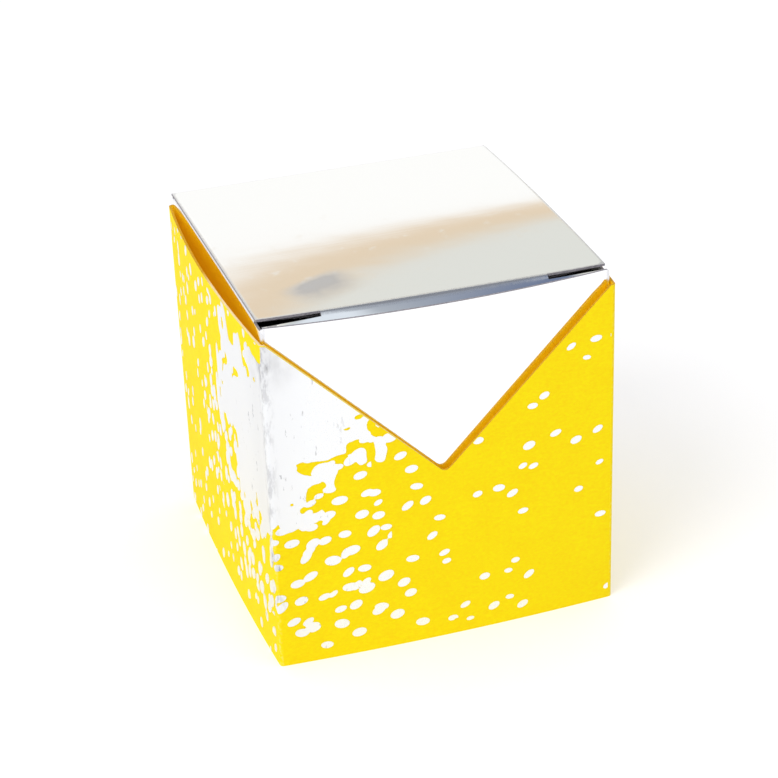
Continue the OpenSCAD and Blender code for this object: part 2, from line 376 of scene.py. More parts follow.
@dataclass(frozen=True)
class MirrorFilm(Finish):
    """Mirror silver film laminated on card: fine draw lines, faint waves and smudges."""

    name: str = "mirror_film"
    silver: Colour = (0.985, 0.985, 0.985)
    # Grey of the scuffs near the folds, and of the dent's painted reflection.
    scuffed_and_dent_reflection: Colour = (0.62, 0.62, 0.65)
    scuff_reach: Span = (0.3, 0.75)
    relief: float = 0.0055

    def paint(self, graph: Graph) -> None:
        """Draw lines run across the box, so their noise is stretched along X.

        Args:
            graph: The empty graph.
        """
        lines = graph.noise(graph.place((60.0, 0.8, 0.8)), 0.35, 2.0)
        waves = graph.noise(graph.place((1.6, 1.0, 1.0)), 5.0, 1.0)
        smudge = graph.noise(graph.place(), 2.8, 3.0, 0.6).step(0.58, 0.8)
        fleck = graph.noise(graph.place(), 0.5, 2.0)
        scuff = (1.0 - graph.reading("fold").step(*self.scuff_reach)) * fleck.step(0.0, 0.6)
        mark = self.mark(graph)
        # Painted reflection: the mark darkens the film for the dent; the scuffs near the folds are
        # wear.
        colour = graph.mix((0.6 * scuff + mark).clipped(), self.silver, self.scuffed_and_dent_reflection)
        rough = 0.045 + 0.05 * smudge + 0.25 * scuff + 0.1 * mark
        relief = 0.93 * waves + 0.07 * lines
        values = {"Base Color": colour, "Roughness": rough, "Metallic": 1.0}
        graph.surface(values, relief, self.relief)


    def mark(self, graph: Graph) -> Signal | float:
        """Share of film in a single mark, painted darker and made rougher, none here."""
        return 0.0


@dataclass(frozen=True)
class DentedFilm(MirrorFilm):
    """Mirror film with a wedge-shaped mark that fades forward, painted darker as the dent's
    reflection and a little rougher.

    The mark stands for the dent in the lid's film. It has no relief of its own.
    """

    name: str = "mirror_film_dented"
    mark_x: float = -14.9
    mark_y: float = -13.6
    mark_turn: float = 25.2
    mark_half_l: float = 6.6
    mark_reach: float = 8.0

    def mark(self, graph: Graph) -> Signal | float:
        """Product of steps ahead of the wedge's back line and to its two ends.

        Args:
            graph: The film's graph.

        Returns:
            The share, largest in the middle of the mark.
        """
        x, y = graph.axes("XY")
        turn = math.radians(self.mark_turn)
        beside, behind = x - self.mark_x, y - self.mark_y
        ahead = beside * math.sin(turn) - behind * math.cos(turn)
        along = (beside * math.cos(turn) + behind * math.sin(turn)) * (1 / self.mark_half_l)
        ends = 1.0 - along.maths("ABSOLUTE", along).step(0.2, 1.0)
        body = ahead.step(-1.2, 1.4) * (1.0 - ahead.step(0.8, self.mark_reach))
        return 1.3 * body * ends * (0.6 + 0.8 * graph.noise(graph.place(), 1.6, 3.0))


@dataclass(frozen=True)
class WhiteBoard(Finish):
    """Bare inside of the foil card: uncoated white board with grey flecks."""

    name: str = "white_board"
    pale: Colour = (0.80, 0.79, 0.76)
    fleck: Colour = (0.55, 0.54, 0.52)
    relief: float = 0.010

    def paint(self, graph: Graph) -> None:
        """Sparse flecks over a faint cloud.

        Args:
            graph: The empty graph.
        """
        grain = graph.noise(graph.place(), 0.3, 3.0, 0.6)
        cloud = graph.noise(graph.place(), 6.0, 2.0)
        marks = grain.step(0.66, 0.76)
        colour = graph.mix((0.5 * marks + 0.25 * cloud).clipped(), self.pale, self.fleck)
        rough = 0.85 + 0.1 * grain
        graph.surface({"Base Color": colour, "Roughness": rough}, grain, self.relief)


@dataclass(frozen=True)
class CutEdge(Finish):
    """Cut edge of the foil card: grey board core with light and dark fibre ends."""

    name: str = "grey_board_cut_edge"
    dark: Colour = (0.17, 0.16, 0.19)
    light: Colour = (0.40, 0.38, 0.41)
    fibre: float = 0.14
    contrast: Span = (0.3, 0.72)
    roughness: float = 0.8
    relief: float = 0.02

    def paint(self, graph: Graph) -> None:
        """The shear leaves short fibre ends.

        Args:
            graph: The empty graph.
        """
        fibres = graph.noise(graph.place(), self.fibre, 2.0)
        colour = graph.mix(fibres.step(*self.contrast), self.dark, self.light)
        rough = self.roughness + 0.1 * fibres
        values = {"Base Color": self.film(graph, colour), "Roughness": rough}
        graph.surface(values, fibres, self.relief)

    def film(self, graph: Graph, colour: Signal) -> Signal:
        """The colour with what film and painted highlight the edge has, none here."""
        return colour


@dataclass(frozen=True)
class DyedEdge(CutEdge):
    """Cut edge of the dyed card, paler where the print reaches it: fraying print film, and a painted
    highlight.
    """

    name: str = "yellow_card_cut_edge"
    dark: Colour = (0.52, 0.24, 0.002)
    light: Colour = (0.78, 0.44, 0.006)
    fibre: float = 0.12
    contrast: Span = (0.3, 0.7)
    roughness: float = 0.85
    film_and_highlight: Colour = (0.96, 0.80, 0.46)
    film_and_highlight_from: Span = (-20.0, 150.0)
    film_and_highlight_share: float = 0.75

    def film(self, graph: Graph, colour: Signal) -> Signal:
        """Paler where x y > 0, where the print reaches the cut: fraying film, and a painted
        highlight that leaves one arm of each V paler than the other.

        Args:
            graph: The edge's graph.
            colour: Colour of the bare edge.

        Returns:
            The colour with the film and the painted highlight.
        """
        x, y = graph.axes("XY")
        # Painted highlight and fraying film: the edge is paler where x y > 0.
        return graph.mix(self.film_and_highlight_share * (x * y).step(*self.film_and_highlight_from), colour, self.film_and_highlight)


# Meshes


@dataclass
class Shell:
    """A closed surface, ready to be joined into a piece."""

    points: Array
    faces: list[list[int]]
    sides: Array
    fold: Array


@dataclass
class Sheet:
    """A bent sheet of card: a grid of points on its outer face, and which cells are card.

    Seen from outside, columns run to the right and rows upwards.
    """

    points: Array
    thickness: float
    fold: Array
    keep: Array | None = None
    closed: bool = False

    def __post_init__(self) -> None:
        """Takes every cell as card where none is cut out."""
        if self.keep is None:
            rows, columns = self.points.shape[:2]
            self.keep = np.ones((rows - 1, columns if self.closed else columns - 1), bool)

    def normals(self) -> Array:
        """Outward normals: the cross product of the grid's two central differences.

        Returns:
            Unit normals, one to each point of the grid.
        """
        if self.closed:
            along = np.roll(self.points, -1, axis=1) - np.roll(self.points, 1, axis=1)
        else:
            along = np.gradient(self.points, axis=1)
        up = np.gradient(self.points, axis=0)
        normal = np.cross(along, up)
        return normal / np.linalg.norm(normal, axis=2, keepdims=True)

    def solid(self) -> Shell:
        """Outer face, inner face one thickness behind it, and a rim round every cut.

        Returns:
            The closed shell, without the grid points that no cell uses.
        """
        rows, columns = self.points.shape[:2]
        number = np.arange(rows * columns).reshape(rows, columns)
        right = np.roll(number, -1, axis=1) if self.closed else number[:, 1:]
        left = number if self.closed else number[:, :-1]
        corners = np.stack([left[:-1], right[:-1], right[1:], left[1:]], axis=2)
        around = np.pad(self.keep, 1)
        if self.closed:
            around[1:-1, 0] = self.keep[:, -1]
            around[1:-1, -1] = self.keep[:, 0]
        beyond = [around[:-2, 1:-1], around[1:-1, 2:], around[2:, 1:-1], around[1:-1, :-2]]
        outer = corners[self.keep]
        behind = rows * columns
        rims = []
        for k, other in enumerate(beyond):
            cut = corners[self.keep & ~other]
            start = cut[:, k]
            end = cut[:, (k + 1) % 4]
            rims.append(np.column_stack([start + behind, end + behind, end, start]))
        faces = np.vstack([outer, outer[:, ::-1] + behind, *rims])
        inner = self.points - self.thickness * self.normals()
        points = np.vstack([self.points.reshape(-1, 3), inner.reshape(-1, 3)])
        fold = np.tile(self.fold.ravel(), 2)
        used, faces = np.unique(faces, return_inverse=True)
        counts = [len(outer), len(outer), sum(len(r) for r in rims)]
        sides = np.repeat([s.value for s in Side], counts)
        return Shell(points[used], faces.reshape(-1, 4).tolist(), sides, fold[used])


def make_piece(name: str, shells: list[Shell], finishes: list[Finish]) -> bpy.types.Object:
    """Joins shells into one piece, smooth but for its cut edges.

    Args:
        name: Name of the piece.
        shells: Its closed shells.
        finishes: One finish for each Side that the shells have.

    Returns:
        The piece, at the origin, with its place in its mesh.
    """
    starts = np.cumsum([0] + [len(s.points) for s in shells])
    points = np.vstack([s.points for s in shells]) * MM
    faces = [[v + start for v in f] for s, start in zip(shells, starts) for f in s.faces]
    sides = np.concatenate([s.sides for s in shells])
    mesh = bpy.data.meshes.new(name)
    mesh.from_pydata(points, [], faces)
    mesh.polygons.foreach_set("material_index", sides.astype(np.int32))
    fold = mesh.attributes.new("fold", "FLOAT", "POINT")
    fold.data.foreach_set("value", np.concatenate([s.fold for s in shells]).astype(np.float32))
    for finish in finishes:
        mesh.materials.append(finish.material())
    mesh.update()
    mesh.shade_smooth()
    mesh.set_sharp_from_angle(angle=math.radians(CUT_EDGE_ANGLE))
    piece = bpy.data.objects.new(name, mesh)
    bpy.context.scene.collection.objects.link(piece)
    triangles = sum(len(f) - 2 for f in faces)
    log.info("%s: %d shells, %d triangles", name, len(shells), triangles)
    return piece


@dataclass(frozen=True)
class Tube:
    """Outer outline of four walls folded from one strip, seen from above.

    The run s goes anticlockwise from the left end of the front wall's flat part:
    front, right, back and left wall, with a fold's arc after each of them.
    """

    width: float
    depth: float
    fold_r: float

    def flats(self) -> Array:
        """Lengths of the flat parts of the four walls."""
        across = self.width - 2 * self.fold_r
        deep = self.depth - 2 * self.fold_r
        return np.array([across, deep, across, deep])

    def quarter(self) -> float:
        """Length of the arc of one fold."""
        return self.fold_r * math.pi / 2

    def starts(self) -> Array:
        """Runs at which the walls and the arcs begin, and the whole length last."""
        lengths = np.column_stack([self.flats(), np.full(4, self.quarter())]).ravel()
        return np.concatenate([[0], np.cumsum(lengths)])

    def trace(self, run: Array) -> tuple[Array, Array, Array, Array]:
        """Where the outline is at each run.

        A wall with outward normal n and heading t has the points b n + (s - a) t. Its
        fold's arc has the points c + r (n cos f + t sin f), with f = s / r from its start.

        Args:
            run: Runs s along the outline, of any sign, taken modulo its length.

        Returns:
            Points, outward normals, wall numbers, and the place across the wall's flat
            part from -1 to 1.
        """
        starts = self.starts()
        run = np.mod(run, starts[-1])
        part = np.searchsorted(starts, run, side="right") - 1
        part = np.clip(part, 0, 7)
        local = run - starts[part]
        wall = part // 2
        on_arc = part % 2 == 1
        half = self.flats()[wall] / 2
        reach = np.where(wall % 2 == 0, self.depth, self.width) / 2
        turn = wall * math.pi / 2
        heading = np.stack([np.cos(turn), np.sin(turn)], axis=-1)
        outward = np.stack([np.sin(turn), -np.cos(turn)], axis=-1)
        bend = np.where(on_arc, local / self.fold_r, 0)[..., None]
        along = np.where(on_arc, half, local - half)[..., None]
        normal = outward * np.cos(bend) + heading * np.sin(bend)
        centre = outward * (reach - self.fold_r)[..., None] + heading * along
        across = np.where(on_arc, 1.0, (local - half) / half)
        return centre + self.fold_r * normal, normal, wall, across

    def fold_distance(self, run: Array) -> Array:
        """Distance along the outline from the middle of the nearest fold.

        Args:
            run: Runs along the outline.

        Returns:
            The distances.
        """
        starts = self.starts()
        middles = starts[1:8:2] + self.quarter() / 2
        gap = np.abs(np.mod(run, starts[-1])[..., None] - middles)
        return np.minimum(gap, starts[-1] - gap).min(axis=-1)

    def columns(self, across: list[Array], arc_steps: int = 6) -> Array:
        """Runs of a grid's columns.

        Args:
            across: For each wall, places along its flat part, from -1 to 1.
            arc_steps: Steps round each fold.

        Returns:
            The runs, each once.
        """
        starts = self.starts()
        parts = []
        for wall in range(4):
            flat = self.flats()[wall]
            parts.append(starts[2 * wall] + (across[wall] + 1) * flat / 2)
            arc_runs = np.linspace(0, self.quarter(), arc_steps + 1)[1:-1]
            parts.append(starts[2 * wall + 1] + arc_runs)
        return np.concatenate(parts)


class FoldedTube(ABC):
    """Four upright walls whose faces may bow out from the flat."""

    tube: Tube
    thickness: float
    glue: float

    @abstractmethod
    def bow(self, wall: Array, across: Array, height: Array) -> Array:
        """How far the outer face stands out from the flat wall.

        Args:
            wall: Number of the wall.
            across: Place across the wall's flat part, from -1 to 1.
            height: Height of the point.

        Returns:
            The distance outwards.
        """

    def surface(self, run: Array, height: Array, proud: float = 0.0) -> Array:
        """Points of the outer face, moved out by its bow and by proud.

        Args:
            run: Run along the outline.
            height: Height of the point, an array of the same shape.
            proud: Extra distance outwards.

        Returns:
            The points, with x, y and z on the last axis.
        """
        flat, normal, wall, across = self.tube.trace(run)
        out = self.bow(wall, across, height) + proud
        return np.concatenate([flat + normal * out[..., None], height[..., None]], axis=-1)

    def glued_flap(self, run: Array, low: Array, high: Array, rows: int) -> Sheet:
        """A flap glued to the inner face of a wall.

        Args:
            run: Runs of its columns.
            low: Height of its lower end in each column.
            high: Height of its upper end in each column.
            rows: Number of rows.

        Returns:
            The flap's sheet.
        """
        heights = low + (high - low) * np.linspace(0, 1, rows)[:, None]
        runs = np.broadcast_to(run, heights.shape)
        points = self.surface(runs, heights, -self.thickness - self.glue)
        return Sheet(points, self.thickness, self.tube.fold_distance(runs))


# Sleeve


@dataclass
class Sleeve(FoldedTube):
    """Strip of dyed card folded round the carton, with a V notch in front and back."""

    low: Vector
    high: Vector
    thickness: float = 0.35
    fold_r: float = 0.6
    notch_depth: float = 24.4
    notch_r: float = 1.0
    notch_shoulder: float = 0.4
    solid_bow: float = 0.9
    side_bow_top: float = 1.3
    side_bow_base: float = 0.65
    front_bow_base: float = 0.8
    seam_w: float = 10.0
    seam_gap: float = 1.0
    seam_chamfer: float = 1.5
    glue: float = 0.03
    rows: int = 48

    def __post_init__(self) -> None:
        """Takes the outer sizes from the frame's box of the sleeve."""
        size = (self.high - self.low) / MM
        self.height = size.z
        self.tube = Tube(size.x - 2 * self.solid_bow, size.y, self.fold_r)
        self.notch_z = self.height - self.notch_depth
        self.notch_half_w = self.tube.width / 2 - self.thickness - self.notch_shoulder
        self.slope = math.atan2(self.notch_depth, self.notch_half_w)

    def bow(self, wall: Array, across: Array, height: Array) -> Array:
        """Side walls bow out more towards the top, front and back walls only near the base.

        Args:
            wall: Number of the wall.
            across: Place across its flat part, from -1 to 1.
            height: Height of the point.

        Returns:
            The distance outwards.
        """
        share = np.clip(height / self.height, 0, 1)
        side = self.side_bow_base + (self.side_bow_top - self.side_bow_base) * share
        front = self.front_bow_base * np.clip(1 - height / self.notch_z, 0, 1) ** 1.3
        return np.where(wall % 2 == 1, side, front) * (1 - across**2)

    def top(self, run: Array) -> Array:
        """Height of the cut edge: the V's arms with a round vertex on front and back walls.

        Args:
            run: Runs along the outline.

        Returns:
            The heights.
        """
        flat, _, wall, across = self.tube.trace(run)
        x = np.abs(flat[..., 0])
        centre = self.notch_z + self.notch_r / math.cos(self.slope)
        round_x = self.notch_r * math.sin(self.slope)
        vertex = centre - np.sqrt(np.maximum(self.notch_r**2 - x**2, 0))
        arm = self.notch_z + math.tan(self.slope) * x
        notch = np.where(x < round_x, vertex, arm)
        notched = (wall % 2 == 0) & (np.abs(across) < 1)
        return np.where(notched, np.minimum(notch, self.height), self.height)

    def places(self) -> list[Array]:
        """Columns over each wall: close together at the vertex and at the ends of the arms.

        Returns:
            For each wall, places along its flat part, from -1 to 1.
        """
        half = self.tube.flats()[0] / 2
        even = np.linspace(-1, 1, 61)
        vertex = np.linspace(-1.4, 1.4, 15) / half
        end = self.notch_half_w / half
        notched = np.unique(np.round(np.concatenate([even, vertex, [-end, end]]), 6))
        return [notched, even, notched, even]

    def walls(self) -> Sheet:
        """The four walls as one closed strip, its top row on the cut edge.

        Returns:
            The strip's sheet.
        """
        runs = self.tube.columns(self.places())
        share = np.linspace(0, 1, self.rows + 1)
        heights = share[:, None] * self.top(runs)[None, :]
        runs = np.broadcast_to(runs, heights.shape)
        fold = self.tube.fold_distance(runs)
        return Sheet(self.surface(runs, heights), self.thickness, fold, closed=True)

    def seam(self) -> Sheet:
        """The glued flap inside the back wall, from the right fold, with chamfered ends.

        Returns:
            The flap's sheet.
        """
        start = self.tube.starts()[4]
        reach = self.seam_w / self.notch_half_w
        height = self.notch_z + self.notch_depth * (1 - reach) - 2 * self.seam_gap
        across = np.linspace(0, 1, 12)
        low = self.seam_gap + self.seam_chamfer * across
        high = self.seam_gap + height - self.seam_chamfer * across
        return self.glued_flap(start + self.seam_w * across, low, high, 24)

    def build(self) -> bpy.types.Object:
        """Makes the sleeve and puts it in the place of its CAD node.

        Returns:
            The piece.
        """
        shells = [self.walls().solid(), self.seam().solid()]
        piece = make_piece("card_sleeve", shells, [DyedCard(), DyedInside(), DyedEdge()])
        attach(piece, "sleeve")
        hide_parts("sleeve")
        return piece


# Foil print


# Corners 0 to 3 of a cell are its lower left, lower right, upper right and upper left, and
# crossings 4 to 7 lie on its lower, right, upper and left edge. For each set of corners inside
# the print, as the sum of 1, 2, 4 and 8 for the corners 0 to 3, this is the cell's printed part.
CELL_PARTS = [
    [], [0, 4, 7], [4, 1, 5], [0, 1, 5, 7],
    [5, 2, 6], [0, 4, 5, 2, 6, 7], [4, 1, 2, 6], [0, 1, 2, 6, 7],
    [6, 3, 7], [0, 4, 6, 3], [4, 1, 5, 6, 3, 7], [0, 1, 5, 6, 3],
    [7, 5, 2, 3], [0, 4, 5, 2, 3], [4, 1, 2, 3, 7], [0, 1, 2, 3],
]
FIRST_CROSSING = 4
CROSSING_MARGIN = 0.03
DOT_COLUMNS, DOT_ROWS = 96, 64
CLOUD_CELLS = 128


@dataclass(frozen=True)
class DotPattern:
    """A jittered lattice of slanting oval dots on a wall."""

    pitch: float
    radius: float
    spread: float
    seed: int
    stretch: float = 1.5
    slant: float = 14.0
    slant_spread: float = 22.0
    jitter: float = 0.46
    lattice_turn: float = 27.0

    def height(self, u: Array, v: Array, share: Array) -> Array:
        """Distance inside the nearest dot, roughly in millimetres, negative outside.

        Args:
            u: Place across the wall.
            v: Height.
            share: Which share of the dots is printed there.

        Returns:
            The largest of radius - length of the offset from each near dot's centre, with
            the offset turned by the dot's slant and shortened by its stretch.
        """
        draws = np.random.default_rng(self.seed).random((6, DOT_COLUMNS, DOT_ROWS))
        turned = math.radians(self.lattice_turn)
        u, v = (u * math.cos(turned) + v * math.sin(turned),
                v * math.cos(turned) - u * math.sin(turned))
        column = np.floor(u / self.pitch).astype(int)
        row = np.floor(v / self.pitch).astype(int)
        best = np.full(u.shape, -self.pitch)
        for i in (-1, 0, 1):
            for j in (-2, -1, 0, 1):
                at = ((column + i) % DOT_COLUMNS, (row + j) % DOT_ROWS)
                chance, move_u, move_v, grow, turn, narrow = (d[at] for d in draws)
                half_step = 0.5 * ((column + i) % 2)
                centre_u = (column + i + 0.5 + self.jitter * (2 * move_u - 1)) * self.pitch
                centre_v = (row + j + 0.5 + half_step + self.jitter * (2 * move_v - 1)) * self.pitch
                angle = np.radians(self.slant + self.slant_spread * (2 * turn - 1)) - turned
                du = u - centre_u
                dv = v - centre_v
                long = (du * np.cos(angle) + dv * np.sin(angle)) / self.stretch
                wide = (dv * np.cos(angle) - du * np.sin(angle)) * (1 + 0.3 * narrow)
                radius = self.radius * (0.7 + 0.3 * share) + self.spread * (2 * grow - 1)
                dot = radius - np.hypot(long, wide)
                best = np.maximum(best, np.where(chance < share, dot, -self.pitch))
        return best


def cloud(u: Array, v: Array, cell: float, seed: int) -> Array:
    """Value noise from -1 to 1: random values on a lattice, joined by smooth steps.

    Args:
        u: First coordinate.
        v: Second coordinate.
        cell: Spacing of the lattice.
        seed: Seed of the random values.

    Returns:
        The noise at each point.
    """
    draws = np.random.default_rng(seed).random((CLOUD_CELLS, CLOUD_CELLS)) * 2 - 1
    i = np.floor(u / cell).astype(int)
    j = np.floor(v / cell).astype(int)
    at_i, next_i = i % CLOUD_CELLS, (i + 1) % CLOUD_CELLS
    at_j, next_j = j % CLOUD_CELLS, (j + 1) % CLOUD_CELLS
    s = smooth(u / cell - i, 0, 1)
    t = smooth(v / cell - j, 0, 1)
    low = draws[at_i, at_j] * (1 - s) + draws[next_i, at_j] * s
    high = draws[at_i, next_j] * (1 - s) + draws[next_i, next_j] * s
    return low * (1 - t) + high * t


class Corner(Enum):
    """The folds that the print runs out from."""

    FRONT_LEFT = 0
    BACK_RIGHT = 1


@dataclass
class FoilPrint:
    """Silver foil speckles round one fold, solid at the fold and single dots further off.

    The place u is the distance along the card from the middle of the fold: positive over
    the notched wall and negative over the side wall. The height is v.
    """

    sleeve: Sleeve
    corner: Corner
    cell: float = 0.23
    lift: float = 0.045
    sink: float = 0.01
    margin: float = 0.10
    grid_past: Span = (1.5, 0.3)
    field_v: float = 34.5
    field_half_v: float = 14.5
    field_side_u: float = 20.5
    field_power: float = 2.6
    field_base: float = 24.6
    field_rise: float = 0.045
    field_step: float = 0.2
    side_streak: float = 1.7
    large_cloud: tuple[float, float] = (3.3, 2.9)
    small_cloud: tuple[float, float] = (5.0, 1.45)
    crowd_v: float = 26.0
    crowd_half_v: float = 21.0
    crowd_u: float = 30.0
    seed: int = 41

    def solid_field(self, u: Array, v: Array) -> Array:
        """Depth inside the solid field, with a ragged edge.

        On the side wall the field is a superellipse. On the notched wall it lies above
        the parabola v = field_base + field_rise u^2. Two clouds, each with its height and
        its size, make its edge ragged.

        Args:
            u: Place along the card.
            v: Height.

        Returns:
            The depth, negative outside.
        """
        seed = self.seed + 100 * self.corner.value
        power = self.field_power
        away = np.abs(u / self.field_side_u) ** power
        away = away + np.abs((v - self.field_v) / self.field_half_v) ** power
        side = (1 - away ** (1 / power)) * self.field_half_v
        bend = 2 * self.field_rise * u
        front = (v - self.field_base - self.field_rise * u**2) / np.sqrt(1 + bend**2)
        tall = np.where(u < 0, v / self.side_streak, v)
        large, large_size = self.large_cloud
        small, small_size = self.small_cloud
        ragged = large * cloud(u, tall, large_size, seed + 1)
        ragged = ragged + small * cloud(u, tall, small_size, seed + 2)
        return np.where(u < 0, side, front) + ragged - self.field_step

    def dots(self, u: Array, v: Array) -> Array:
        """Dots outside the field: crowded on the side wall, thinning out over the notched one.

        Args:
            u: Place along the card.
            v: Height.

        Returns:
            Distance inside the nearest dot, negative outside.
        """
        seed = self.seed + 100 * self.corner.value
        away = np.hypot(u / self.crowd_u, (v - self.crowd_v) / self.crowd_half_v)
        side_share = 0.38 + 0.55 * (1 - smooth(away, 0.8, 1.15))
        front_share = (0.92 - 0.62 * smooth(u, 12, 27) - 0.08 * smooth(u, 30, 50)) * smooth(v, 1, 3)
        blob_share = 0.5 * (1 - smooth(u, 9, 20)) * smooth(v, 3, 9)
        side = DotPattern(pitch=2.3, radius=0.74, spread=0.20, seed=seed + 3, slant=70.0,
                          lattice_turn=0.0).height(u, v, side_share)
        front = DotPattern(pitch=3.2, radius=0.70, spread=0.12, seed=seed + 4,
                           jitter=0.36).height(u, v, front_share)
        blobs = DotPattern(pitch=2.7, radius=0.80, spread=0.25, seed=seed + 5,
                           slant=30.0).height(u, v, blob_share)
        return np.where(u < 0, side, np.maximum(front, blobs))

    def limits(self, u: Array, v: Array) -> Array:
        """Distance inside the printable part of the walls.

        Args:
            u: Place along the card.
            v: Height.

        Returns:
            The distance, negative outside.
        """
        flats = self.sleeve.tube.flats()
        half_arc = self.sleeve.tube.quarter() / 2
        top = (self.sleeve.top(u - half_arc) - v) * np.where(u < 0, 1.0, math.cos(self.sleeve.slope))
        ends = np.minimum(flats[0] + half_arc - u, flats[1] + half_arc + u)
        return np.minimum(np.minimum(top, v), ends) - self.margin

    def outline(self) -> tuple[Array, Array, Array]:
        """The print's height field on a grid: positive where there is foil.

        Returns:
            The grid's places u, its heights v, and the field.
        """
        flats = self.sleeve.tube.flats()
        past_u, past_v = self.grid_past
        us = np.arange(-flats[1] - past_u, flats[0] + past_u, self.cell)
        vs = np.arange(-past_v, self.sleeve.height + past_v, self.cell)
        u, v = np.meshgrid(us, vs)
        printed = np.maximum(self.solid_field(u, v), self.dots(u, v))
        return u, v, np.minimum(printed, self.limits(u, v))

    def shell(self) -> Shell:
        """Cuts the height field at zero cell by cell and gives the foil its thickness.

        An edge of the grid is crossed where the straight line between its two heights is
        zero. Each cell's part of the print comes from CELL_PARTS, and its sides between
        two crossings get a rim.

        Returns:
            The closed shell.
        """
        u, v, height = self.outline()
        rows, columns = u.shape
        number = np.arange(rows * columns).reshape(rows, columns)
        flat_u = self.crossings(u, height)
        flat_v = self.crossings(v, height)
        count = rows * columns
        corners = [number[:-1, :-1], number[:-1, 1:], number[1:, 1:], number[1:, :-1]]
        level = [count + number[:-1, :-1], 2 * count + number[:-1, 1:]]
        level += [count + number[1:, :-1], 2 * count + number[:-1, :-1]]
        cell_points = np.stack(corners + level, axis=2)
        inside = height > 0
        case = inside[:-1, :-1] * 1 + inside[:-1, 1:] * 2 + inside[1:, 1:] * 4 + inside[1:, :-1] * 8
        faces = []
        rims = []
        for kind, part in enumerate(CELL_PARTS):
            if not part:
                continue
            found = cell_points[case == kind][:, part]
            faces += found.tolist()
            for k, point in enumerate(part):
                following = (k + 1) % len(part)
                if point >= FIRST_CROSSING and part[following] >= FIRST_CROSSING:
                    rims.append(found[:, [k, following]])
        return self.thicken(flat_u, flat_v, faces, np.vstack(rims))

    @staticmethod
    def crossings(values: Array, height: Array) -> Array:
        """Values at the grid's points, then where its rows and its columns cross zero.

        Args:
            values: The grid's u or v.
            height: The print's height field.

        Returns:
            The three sets, one after the other.
        """
        rows = values.copy()
        columns = values.copy()
        for grid, held, level in ((rows.T, values.T, height.T), (columns, values, height)):
            lean = level[:-1] - level[1:]
            share = level[:-1] / np.where(lean == 0, 1, lean)
            share = np.clip(share, CROSSING_MARGIN, 1 - CROSSING_MARGIN)
            grid[:-1] += share * (held[1:] - held[:-1])
        return np.concatenate([values.ravel(), rows.ravel(), columns.ravel()])

    def thicken(self, u: Array, v: Array, faces: list[list[int]], rims: Array) -> Shell:
        """Lays the flat print on the bowed walls, with a back face and rims.

        Args:
            u: Place of each point along the card.
            v: Height of each point.
            faces: The print's faces, as numbers of points.
            rims: Pairs of points along its outline.

        Returns:
            The closed shell.
        """
        used, packed = np.unique(np.concatenate(faces), return_inverse=True)
        ends = np.cumsum([len(f) for f in faces])[:-1]
        top = [f.tolist() for f in np.split(packed, ends)]
        lookup = np.zeros(len(u), int)
        lookup[used] = np.arange(len(used))
        rim = lookup[rims]
        behind = len(used)
        back = [[p + behind for p in reversed(f)] for f in top]
        start, end = rim[:, 0], rim[:, 1]
        edge = np.column_stack([start + behind, end + behind, end, start]).tolist()
        half_arc = self.sleeve.tube.quarter() / 2
        turn = self.corner.value * self.sleeve.tube.starts()[-1] / 2
        run = u[used] - half_arc + turn
        outer = self.sleeve.surface(run, v[used], self.lift)
        inner = self.sleeve.surface(run, v[used], -self.sink)
        counts = [len(top), len(back), len(edge)]
        sides = np.repeat([s.value for s in Side], counts)
        fold = np.tile(np.abs(u[used]), 2)
        return Shell(np.vstack([outer, inner]), top + back + edge, sides, fold)

    def build(self) -> bpy.types.Object:
        """Makes the print of one corner, which rides on the sleeve.

        Returns:
            The piece.
        """
        foil = StampedFoil()
        name = "foil_print_" + self.corner.name.lower()
        piece = make_piece(name, [self.shell()], [foil, foil, foil])
        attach(piece, "sleeve")
        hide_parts("foil_print")
        return piece


# Carton and lid


